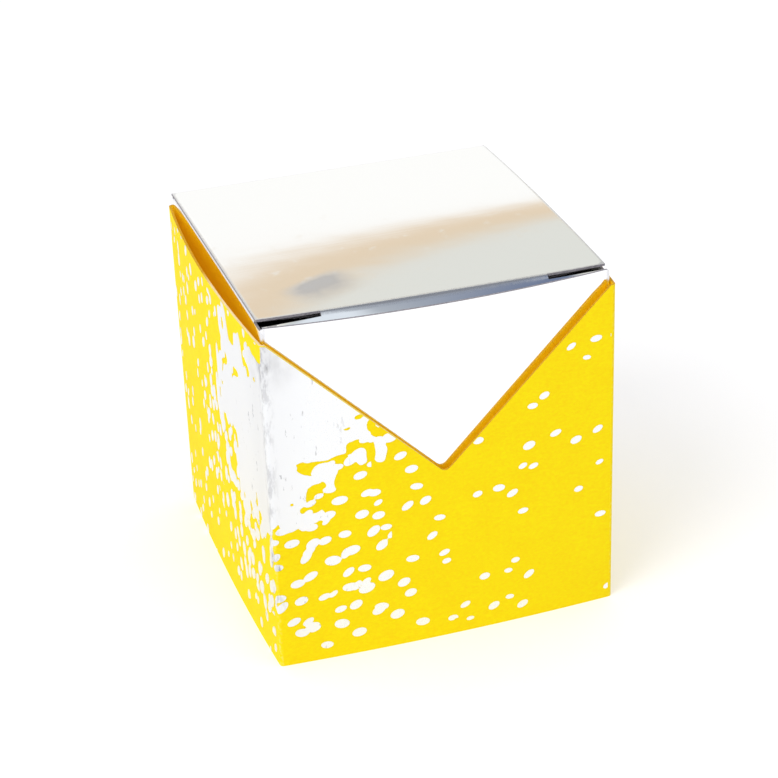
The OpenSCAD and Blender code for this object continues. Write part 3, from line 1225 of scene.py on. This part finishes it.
@dataclass
class ClosingFlap:
    """A closing panel with its crease, brow, lower bend and tuck flap, in one sheet.

    The place a runs forward from the hinge line and the height b up from it. The panel's
    outer face lies one thickness above the hinge line.
    """

    hinge_y: float
    hinge_z: float
    facing: int = 1
    width: float = 49.9
    wall_w: float = 50.0
    thickness: float = 0.35
    hinge_r: float = 0.45
    crease_l: float = 47.35
    crease_r: float = 0.55
    brow_slope: float = 50.0
    brow_l: float = 1.97
    brow_r: float = 0.9
    tuck_l: float = 10.0
    tuck_w: float = 48.8
    tuck_taper: float = 2.5
    tuck_corner_r: float = 4.0
    tuck_lean: float = 9.8
    slit_l: float = 8.8
    gape_left: float = 0.0
    gape_right: float = 0.0
    rise_left: float = 0.0
    rise_right: float = 0.0
    arch_right: float = 0.0
    crease_bulge: float = 0.0
    bend_bulge: float = 0.0
    tip_bulge: float = 0.0
    bulge_from: float = 26.0
    bulge_drop: float = 0.35
    slit_share: float = 0.2
    scuff_inset: float = 0.3

    def section(self) -> tuple[Array, dict[str, int]]:
        """The outer face's section from the hinge to the tuck flap's tip.

        Returns:
            Points a, b one to a row, and the numbers of the rows where its parts begin.
        """
        t = self.thickness
        crease_centre = np.array([self.crease_l, t - self.crease_r])
        down = np.radians(-self.brow_slope)
        brow_step = self.brow_l * np.array([math.cos(down), math.sin(down)])
        tilt = math.radians(90 - self.brow_slope)
        bend_centre = crease_centre + (self.crease_r - self.brow_r) * np.array(
            [math.cos(tilt), math.sin(tilt)]) + brow_step
        hinge = arc((self.hinge_r, t - self.hinge_r), self.hinge_r, 180, 90, 5)
        flat = np.linspace(self.hinge_r, self.crease_l - 0.1, 64)[1:]
        panel = np.column_stack([flat, np.full(len(flat), t)])
        crease = arc(tuple(crease_centre), self.crease_r, 90, 90 - self.brow_slope, 5)
        bend = arc(tuple(bend_centre), self.brow_r, 90 - self.brow_slope, -self.tuck_lean, 6)
        brow = crease[-1] + (bend[0] - crease[-1]) * np.array([0.2, 0.45, 0.75])[:, None]
        lean = math.radians(-90 - self.tuck_lean)
        reach = self.tuck_l * np.sin(np.linspace(0, math.pi / 2, 16))[1:]
        tuck = bend[-1] + reach[:, None] * np.array([math.cos(lean), math.sin(lean)])
        parts = [hinge, panel, crease, brow, bend, tuck]
        names = ["hinge", "panel", "crease", "brow", "bend", "tuck"]
        begins = np.cumsum([0] + [len(p) for p in parts])[:-1]
        return np.vstack(parts), dict(zip(names, begins.tolist()))

    def half_widths(self, count: int, begins: dict[str, int]) -> Array:
        """Half width of every row: the panel's, then the tuck flap's with its round corners.

        Args:
            count: Number of rows.
            begins: Numbers of the rows where the parts begin.

        Returns:
            The half widths.
        """
        half = np.full(count, self.width / 2)
        half[begins["brow"]:] = self.tuck_w / 2
        reach = self.tuck_l * np.sin(np.linspace(0, math.pi / 2, 16))[1:]
        line = self.tuck_w / 2 - self.tuck_taper * reach / self.tuck_l
        into = np.clip(reach - (self.tuck_l - self.tuck_corner_r), 0, self.tuck_corner_r)
        corner = self.tuck_corner_r - np.sqrt(self.tuck_corner_r**2 - into**2)
        half[begins["tuck"]:] = line - corner
        return half

    def sheet(self) -> Sheet:
        """The flap as a grid: rows along the section, columns across the box.

        Returns:
            The flap's sheet, with the cells of the two lock slits cut out.
        """
        path, begins = self.section()
        slit_x = self.width / 2 - self.slit_l
        middle = np.linspace(-slit_x, slit_x, 57)
        outer = slit_x + self.slit_l * np.linspace(0, 1, 10)
        x = np.concatenate([-outer[:0:-1], middle, outer[1:]])
        rows = len(path)
        half = self.half_widths(rows, begins)
        past = np.clip((np.abs(x) - slit_x) / self.slit_l, 0, 1)
        wide = np.where(past > 0, slit_x + past * (half[:, None] - slit_x), np.abs(x))
        xs = np.sign(x) * wide
        keep = np.ones((rows - 1, len(x) - 1), bool)
        beside = np.abs((x[1:] + x[:-1]) / 2) > slit_x
        keep[begins["crease"] - 1:begins["brow"], beside] = False
        a, b = self.relief(xs, path, begins)
        gape = self.slit_share + np.where(x < 0, self.gape_left, self.gape_right) * past
        for grid in (a, b):
            over, under = grid[begins["brow"] - 1], grid[begins["bend"]]
            grid[begins["brow"]] = over + (under - over) * gape
        y = self.hinge_y - a
        z = self.hinge_z + self.facing * b
        points = np.stack([xs, y, z], axis=2)
        crease_row = path[begins["crease"] + 2]
        fold = np.hypot(path[:, 0] - crease_row[0], path[:, 1] - crease_row[1])
        fold = np.minimum(fold, np.hypot(path[:, 0], path[:, 1]))
        fold = np.minimum(fold[:, None], half[:, None] - np.abs(xs) + self.scuff_inset)
        if self.facing > 0:
            points = points[:, ::-1]
            keep = keep[:, ::-1]
        return Sheet(points, self.thickness, fold, keep)

    def relief(self, x: Array, path: Array, begins: dict[str, int]) -> tuple[Array, Array]:
        """Bends the straight section: arch, slope, and bulges over the front wall.

        The arch is h(x) (1 - q^2), with q from -1 at the hinge to 1 at the crease and h
        going evenly from 0 at the left to arch_right. A bulge over the front wall is its
        height times 1 - (2 x / wall_w)^2, and at the crease 1 - bulge_drop (2 x / width)^4.

        Args:
            x: Place across the flap, for each row and column.
            path: The straight section, one point to a row.
            begins: Numbers of the rows where its parts begin.

        Returns:
            The places a and the heights b of all points.
        """
        a0 = path[:, :1]
        share = (x / self.width + 0.5).clip(0, 1)
        q = np.clip(2 * a0 / self.crease_l - 1, -1, 1)
        rise = self.rise_left + (self.rise_right - self.rise_left) * share
        b = path[:, 1:] + self.arch_right * share * (1 - q**2) + a0 * rise / self.crease_l
        row = np.arange(len(path))[:, None]
        to_bend = smooth(row, begins["crease"] + 2, begins["bend"] + 1)
        to_tip = np.clip((row - begins["tuck"]) / (len(path) - 1 - begins["tuck"]), 0, 1)
        outer = (1 - (2 * x / self.wall_w) ** 2).clip(0, 1)
        flat_top = 1 - self.bulge_drop * (2 * x / self.width) ** 4
        at_crease = self.crease_bulge * smooth(a0, self.bulge_from, self.crease_l) * flat_top
        at_bend = (self.bend_bulge + (self.tip_bulge - self.bend_bulge) * to_tip) * outer
        return a0 + at_crease * (1 - to_bend) + at_bend * to_bend, b


@dataclass
class Carton(FoldedTube):
    """Tuck-top carton of mirror foil card: walls, dust flaps, seam flap and closed base."""

    low: Vector
    high: Vector
    notch: Sleeve
    thickness: float = 0.35
    fold_r: float = 0.5
    width: float = 50.0
    top_fold_r: float = 0.4
    left_fold_z: float = 52.75
    right_fold_z: float = 52.30
    bulge: float = 1.8
    bulge_power: float = 1.5
    dust_reach: float = 19.0
    dust_slope: float = 5.0
    dust_front: float = -21.75
    dust_back: float = 24.15
    seam_w: float = 11.0
    seam_gap: float = 1.0
    seam_chamfer: float = 1.5
    glue: float = 0.03
    rows: int = 52

    def __post_init__(self) -> None:
        """Takes the height from the frame's box of the carton."""
        self.height = self.high.z / MM
        self.tube = Tube(self.width, self.width, self.fold_r)

    def bow(self, wall: Array, across: Array, height: Array) -> Array:
        """The front wall swells out through the notch.

        Its bulge is bulge h^p (1 - s^2), with h the height above the vertex as a share of
        the wall's, and s the place between the notch's arms, from -1 to 1.

        Args:
            wall: Number of the wall.
            across: Place across its flat part, from -1 to 1.
            height: Height of the point.

        Returns:
            The distance outwards.
        """
        sleeve = self.notch
        above = np.clip((height - sleeve.notch_z) / (self.height - sleeve.notch_z), 0, None)
        arm = sleeve.notch_half_w * (height - sleeve.notch_z) / sleeve.notch_depth
        arm = np.clip(arm, 0.5, self.width / 2)
        s = across * self.width / 2 / arm
        out = self.bulge * above**self.bulge_power * np.clip(1 - s**2, 0, 1)
        return np.where(wall == Wall.FRONT.value, out, 0.0)

    def walls(self) -> Sheet:
        """The four walls, the sides and the back ending where their folds begin.

        Returns:
            The walls' sheet.
        """
        even = np.linspace(-1, 1, 51)
        runs = self.tube.columns([even, even, even, even])
        flat, normal, wall, _ = self.tube.trace(runs)
        side = np.where(flat[:, 0] < 0, self.left_fold_z, self.right_fold_z) - self.top_fold_r
        top = side + (self.height - side) * np.abs(normal[:, 1])
        top = np.where(wall == Wall.BACK.value, np.minimum(top, self.height - 0.1), top)
        share = np.linspace(0, 1, self.rows + 1)[:, None]
        base = self.thickness + self.top_fold_r
        heights = base + share * (top - base)
        runs = np.broadcast_to(runs, heights.shape)
        to_top = np.where(wall == Wall.FRONT.value, np.inf, self.height - heights)
        fold = np.minimum(self.tube.fold_distance(runs), to_top)
        return Sheet(self.surface(runs, heights), self.thickness, fold, closed=True)

    def dust_flap(self, side: int, fold_z: float, slope: float, facing: int) -> Sheet:
        """A dust flap: an arc on from its wall, then flat and sloping down by its angle.

        Args:
            side: 1 for the right wall, -1 for the left.
            fold_z: Height where the arc leaves the wall.
            slope: Slope of the flap, in degrees.
            facing: 1 for the top, -1 for the base.

        Returns:
            The flap's sheet.
        """
        bend = arc((self.top_fold_r, 0.0), self.top_fold_r, 180, 90 - slope, 6)
        down = math.radians(slope)
        reach = np.linspace(0, self.dust_reach - self.top_fold_r, 14)[1:, None]
        flat = bend[-1] + reach * np.array([math.cos(down), -math.sin(down)])
        path = np.vstack([bend, flat])
        y = np.linspace(self.dust_front, self.dust_back, 24)
        if side * facing < 0:
            y = y[::-1]
        rows, columns = len(path), len(y)
        x = side * (self.width / 2 - path[:, :1])
        z = fold_z + facing * path[:, 1:]
        grid = [np.broadcast_to(part, (rows, columns)) for part in (x, y[None, :], z)]
        fold = np.broadcast_to(path[:, :1], (rows, columns))
        return Sheet(np.stack(grid, axis=2), self.thickness, fold)

    def seam(self) -> Sheet:
        """The glued flap inside the left wall, from the back fold.

        Returns:
            The flap's sheet.
        """
        start = self.tube.starts()[6]
        across = np.linspace(0, 1, 6)
        height = self.height - 4 * self.seam_gap
        low = 2 * self.seam_gap + self.seam_chamfer * across
        high = height - self.seam_chamfer * across
        return self.glued_flap(start + self.seam_w * across, low, high, 12)

    def base(self) -> Sheet:
        """The closed base: a closing flap that faces down."""
        return ClosingFlap(self.width / 2, self.thickness, facing=-1).sheet()

    def build(self) -> bpy.types.Object:
        """Makes the carton and puts it in the place of its CAD node.

        Returns:
            The piece.
        """
        bottom = self.thickness + self.top_fold_r
        sheets = [self.walls(), self.seam(), self.base()]
        for side, fold_z in ((-1, self.left_fold_z), (1, self.right_fold_z)):
            sheets.append(self.dust_flap(side, fold_z - self.top_fold_r, self.dust_slope, 1))
            sheets.append(self.dust_flap(side, bottom, 0.0, -1))
        shells = [sheet.solid() for sheet in sheets]
        piece = make_piece("foil_carton", shells, [MirrorFilm(), WhiteBoard(), CutEdge()])
        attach(piece, "carton")
        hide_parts("carton")
        return piece


@dataclass
class Lid:
    """The carton's lid with its tuck flap, hinged on the top edge of the back wall."""

    carton: Carton

    def build(self) -> bpy.types.Object:
        """Makes the lid and puts it in the place of its CAD node.

        Returns:
            The piece.
        """
        flap = ClosingFlap(
            hinge_y=self.carton.width / 2,
            hinge_z=self.carton.height,
            width=50.1,
            rise_left=0.15,
            rise_right=-0.4,
            arch_right=0.5,
            gape_left=0.27,
            gape_right=0.05,
            crease_bulge=1.05,
            bend_bulge=1.5,
            tip_bulge=0.5,
        )
        shells = [flap.sheet().solid()]
        piece = make_piece("foil_lid", shells, [DentedFilm(), WhiteBoard(), CutEdge()])
        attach(piece, "lid")
        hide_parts("lid")
        return piece


# Studio


@dataclass
class Studio:
    """White floor, plain world, a soft lamp and the camera at the photo's angle.

    Gloss sees a room instead of the plain world. Going up, in degrees, it has a white
    wall, a beige strip, a grey part and a darker upper part with a window. The upper part
    changes with the direction's x and y, and the window with its share along window_way.
    """

    floor_half: float = 6000.0
    floor_colour: Colour = (0.80, 0.80, 0.82)
    floor_glow: float = 0.25
    world_level: float = 0.86
    wall: Colour = (1.0, 1.0, 0.98)
    strip: Colour = (0.775, 0.63, 0.455)
    strip_from: Span = (23.7, 24.6)
    grey: Colour = (0.745, 0.755, 0.71)
    grey_from: Span = (24.9, 25.9)
    upper_from: Span = (30.0, 37.0)
    upper_left: Colour = (0.60, 0.64, 0.66)
    upper_right: Colour = (0.16, 0.20, 0.31)
    upper_across: Span = (0.10, 0.44)
    upper_back: Colour = (0.26, 0.28, 0.32)
    upper_back_from: Span = (-0.05, 0.05)
    window: Colour = (0.74, 0.80, 0.87)
    window_way: Colour = (0.20, -0.62, 0.74)
    window_from: Span = (0.975, 0.996)
    azimuth: float = -17.38
    elevation: float = 27.52
    roll: float = -2.17
    distance: float = 331.04
    aim: tuple[float, float, float] = (0.0, 0.0, 26.0)
    aim_right: float = 0.256
    aim_up: float = 0.861
    lens: float = 102.39
    key_watts: float = 2.9
    key_size: float = 520.0
    key_place: tuple[float, float, float] = (-560.0, -330.0, 640.0)

    def floor(self) -> None:
        """A pale floor that camera and gloss see a little brighter than it is lit."""
        h = self.floor_half * MM
        mesh = bpy.data.meshes.new("floor")
        mesh.from_pydata([(-h, -h, 0), (h, -h, 0), (h, h, 0), (-h, h, 0)], [], [(0, 1, 2, 3)])
        material = bpy.data.materials.new("studio_floor")
        graph = Graph(material)
        rays = [graph.node("ShaderNodeLightPath", {}, {}, f"Is {kind} Ray") for kind in
                ("Camera", "Glossy", "Transmission")]
        seen = (rays[0] + rays[1] + rays[2]).clipped()
        matt = graph.node("ShaderNodeBsdfDiffuse", {}, {"Color": self.floor_colour})
        glow = graph.node("ShaderNodeEmission", {}, {"Strength": seen * self.floor_glow})
        both = graph.node("ShaderNodeAddShader", {}, {0: matt, 1: glow})
        graph.node("ShaderNodeOutputMaterial", {}, {"Surface": both})
        mesh.materials.append(material)
        floor = bpy.data.objects.new("floor", mesh)
        bpy.context.scene.collection.objects.link(floor)

    def world(self) -> None:
        """Plain white light, and for gloss a room: white wall, beige strip, grey, steel blue."""
        world = bpy.data.worlds.new("studio_world")
        bpy.context.scene.world = world
        graph = Graph(world)
        heading = graph.node("ShaderNodeTexCoord", {}, {}, "Generated")
        parts = [graph.node("ShaderNodeSeparateXYZ", {}, {0: heading}, k) for k in range(3)]
        angle = parts[2].maths("ARCSINE", parts[2]) * math.degrees(1)
        room = graph.mix(angle.step(*self.strip_from), self.wall, self.strip)
        room = graph.mix(angle.step(*self.grey_from), room, self.grey)
        upper = graph.mix(parts[0].step(*self.upper_across), self.upper_left, self.upper_right)
        upper = graph.mix(parts[1].step(*self.upper_back_from), upper, self.upper_back)
        room = graph.mix(angle.step(*self.upper_from), room, upper)
        way = Vector(self.window_way).normalized()
        toward = [part * value for part, value in zip(parts, way)]
        window = (toward[0] + toward[1] + toward[2]).step(*self.window_from)
        room = graph.mix(window, room, self.window)
        camera = graph.node("ShaderNodeLightPath", {}, {}, "Is Camera Ray")
        glossy = graph.node("ShaderNodeLightPath", {}, {}, "Is Glossy Ray")
        level = self.world_level
        light = graph.mix(glossy, (level, level, level), room)
        light = graph.mix(camera, light, (1.0, 1.0, 1.0))
        background = graph.node("ShaderNodeBackground", {}, {"Color": light, "Strength": 1.0})
        graph.node("ShaderNodeOutputWorld", {}, {"Surface": background})

    def lamp(self) -> None:
        """One large soft lamp from the left, the front and above."""
        data = bpy.data.lights.new("key_lamp", "AREA")
        data.shape = "DISK"
        data.size = self.key_size * MM
        data.energy = self.key_watts
        lamp = bpy.data.objects.new("key_lamp", data)
        place = Vector(self.key_place) * MM
        target = Vector(self.aim) * MM
        lamp.location = place
        lamp.rotation_euler = (target - place).to_track_quat("-Z", "Y").to_euler()
        bpy.context.scene.collection.objects.link(lamp)

    def camera(self) -> None:
        """The camera, from its azimuth, elevation, roll and distance."""
        azimuth = math.radians(self.azimuth)
        elevation = math.radians(self.elevation)
        back = Vector((math.sin(azimuth) * math.cos(elevation),
                       -math.cos(azimuth) * math.cos(elevation), math.sin(elevation)))
        right = (-back).cross(Vector((0, 0, 1))).normalized()
        up = right.cross(-back)
        place = Vector(self.aim) + back * self.distance + right * self.aim_right + up * self.aim_up
        roll = Matrix.Rotation(math.radians(self.roll), 3, "Z")
        turned = Matrix((right, up, back)).transposed() @ roll
        data = bpy.data.cameras.new("camera")
        data.lens = self.lens
        data.clip_start = 0.01
        data.clip_end = 50
        camera = bpy.data.objects.new("camera", data)
        camera.matrix_world = Matrix.Translation(place * MM) @ turned.to_4x4()
        bpy.context.scene.collection.objects.link(camera)
        bpy.context.scene.camera = camera

    def build(self) -> None:
        """Sets up the whole studio."""
        self.floor()
        self.world()
        self.lamp()
        self.camera()
        bpy.context.scene.view_settings.view_transform = "Standard"


def main() -> None:
    """Builds the pieces in order, then the studio round them."""
    logging.basicConfig(level=logging.INFO, format="%(message)s")
    sleeve = Sleeve(*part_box("sleeve"))
    sleeve.build()
    for corner in Corner:
        FoilPrint(sleeve, corner).build()
    carton = Carton(*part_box("carton"), notch=sleeve)
    carton.build()
    Lid(carton).build()
    Studio().build()


if __name__ == "__main__":
    main()
